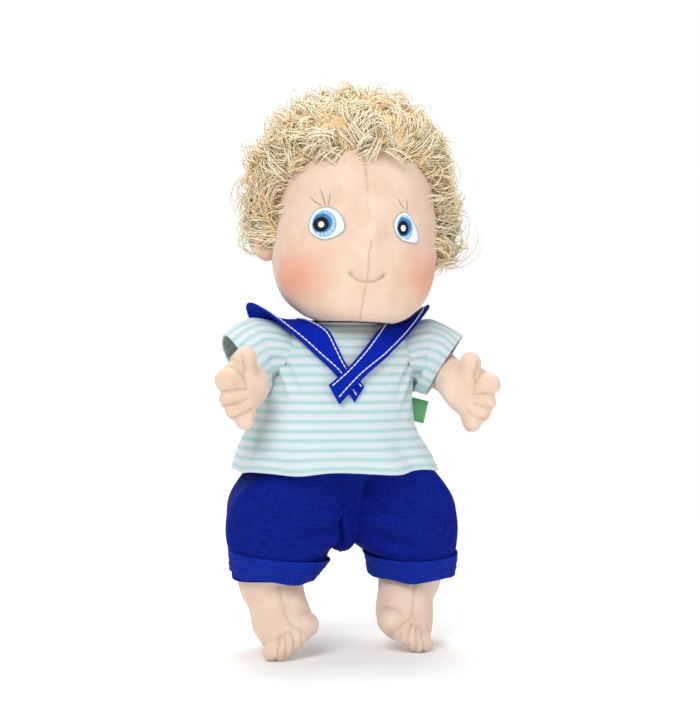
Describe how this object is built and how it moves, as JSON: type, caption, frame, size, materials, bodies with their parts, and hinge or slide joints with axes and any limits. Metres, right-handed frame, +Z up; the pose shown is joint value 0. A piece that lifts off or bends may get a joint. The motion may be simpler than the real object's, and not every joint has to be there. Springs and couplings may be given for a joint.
{
  "type": "cloth doll",
  "caption": "Soft cloth doll with a curly wig, sewn hands and feet, a striped shirt with a sailor collar, and blue trousers with turned-up cuffs.",
  "frame": {"origin": "on the body's axis at the waist, 108 mm above the level of the toes, where a hand, a band or the clip of a doll stand holds the doll", "axes": "+Z up along the upright doll, -Y the way the doll faces, +X towards the doll's left side"},
  "size_m": [0.1624, 0.1086, 0.3162],
  "materials": {
    "skin_velour": "pale peach brushed velour over a polyester filling",
    "wig_pile": "curled mohair-like blond pile",
    "eye_thread": "satin-stitch embroidery thread",
    "striped_knit": "fine cotton knit with mint and white stripes",
    "collar_felt": "royal blue felt with white topstitching",
    "label_tape": "woven green satin tape",
    "trouser_cotton": "royal blue slubby cotton weave"
  },
  "bodies": {
    "torso": {"torso": "skin_velour", "shirt_body": "striped_knit", "neck_binding": "striped_knit", "back_placket": "striped_knit", "collar": "collar_felt", "side_label": "label_tape", "trousers_top": "trouser_cotton", "waistband": "trouser_cotton"},
    "neck": {"neck": "skin_velour"},
    "head": {"head": "skin_velour", "wig": "wig_pile", "eye_right": "eye_thread", "eye_left": "eye_thread", "ear_right": "skin_velour", "ear_left": "skin_velour"},
    "arm_right": {"arm_right": "skin_velour", "sleeve_right": "striped_knit"},
    "arm_left": {"arm_left": "skin_velour", "sleeve_left": "striped_knit"},
    "leg_right": {"leg_right": "skin_velour", "trouser_leg_right": "trouser_cotton", "cuff_right": "trouser_cotton"},
    "leg_left": {"leg_left": "skin_velour", "trouser_leg_left": "trouser_cotton", "cuff_left": "trouser_cotton"}
  },
  "joints": [
    {"name": "neck_turn", "type": "hinge", "parent": "torso", "child": "neck", "pos_m": [0, 0, 0.085], "axis": [0, 0, 1], "range_deg": [-18, 18]},
    {"name": "head_nod", "type": "hinge", "parent": "neck", "child": "head", "pos_m": [0, 0, 0.085], "axis": [1, 0, 0], "range_deg": [-12, 3]},
    {"name": "shoulder_right", "type": "hinge", "parent": "torso", "child": "arm_right", "pos_m": [-0.0385, 0, 0.064], "axis": [-1, 0, 0], "range_deg": [-20, 40]},
    {"name": "shoulder_left", "type": "hinge", "parent": "torso", "child": "arm_left", "pos_m": [0.0385, 0, 0.064], "axis": [-1, 0, 0], "range_deg": [-20, 40]},
    {"name": "hip_right", "type": "hinge", "parent": "torso", "child": "leg_right", "pos_m": [-0.04, 0, -0.032], "axis": [-1, 0, 0], "range_deg": [-15, 90]},
    {"name": "hip_left", "type": "hinge", "parent": "torso", "child": "leg_left", "pos_m": [0.04, 0, -0.032], "axis": [-1, 0, 0], "range_deg": [-15, 90]}
  ]
}
